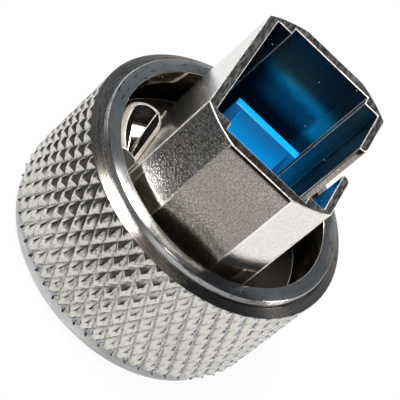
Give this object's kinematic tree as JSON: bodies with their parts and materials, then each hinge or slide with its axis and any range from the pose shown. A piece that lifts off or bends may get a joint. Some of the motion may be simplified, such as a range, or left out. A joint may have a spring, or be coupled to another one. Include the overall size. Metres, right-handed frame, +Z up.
{
  "type": "fibre optic connector adapter",
  "caption": "Interchangeable fibre adapter for a test port: metal tower with a rectangular push-in socket and latch hooks, held by a diamond-knurled coupling nut.",
  "frame": {"origin": "centre of the coupling nut's bottom face, on its axis", "axes": "+Z up the axis and out of the connector socket, +X towards the socket wall with the key slot"},
  "size_m": [0.0166, 0.0166, 0.0154],
  "materials": {
    "nut_nickel": "bright nickel plate over cut knurling",
    "ring_steel": "spring steel",
    "body_nickel": "satin nickel plate with a fine orange-peel grain",
    "clip_blue": "semi-gloss moulded blue",
    "holder_nickel": "turned, nickel plated",
    "sleeve_ceramic": "ground zirconia"
  },
  "bodies": {
    "adapter": {"adapter_body": "body_nickel", "latch_clip": "clip_blue", "sleeve_holder": "holder_nickel", "sleeve_cap": "holder_nickel", "alignment_sleeve": "sleeve_ceramic"},
    "ring": {"retaining_ring": "ring_steel"},
    "nut": {"coupling_nut": "nut_nickel"}
  },
  "joints": [
    {"name": "nut_float", "type": "slide", "parent": "adapter", "child": "ring", "axis": [0, 0, 1], "range_m": [-0.00194, 0]},
    {"name": "nut_spin", "type": "hinge", "parent": "ring", "child": "nut", "pos_m": [0, 0, 0.0041], "axis": [0, 0, 1], "continuous": true}
  ]
}
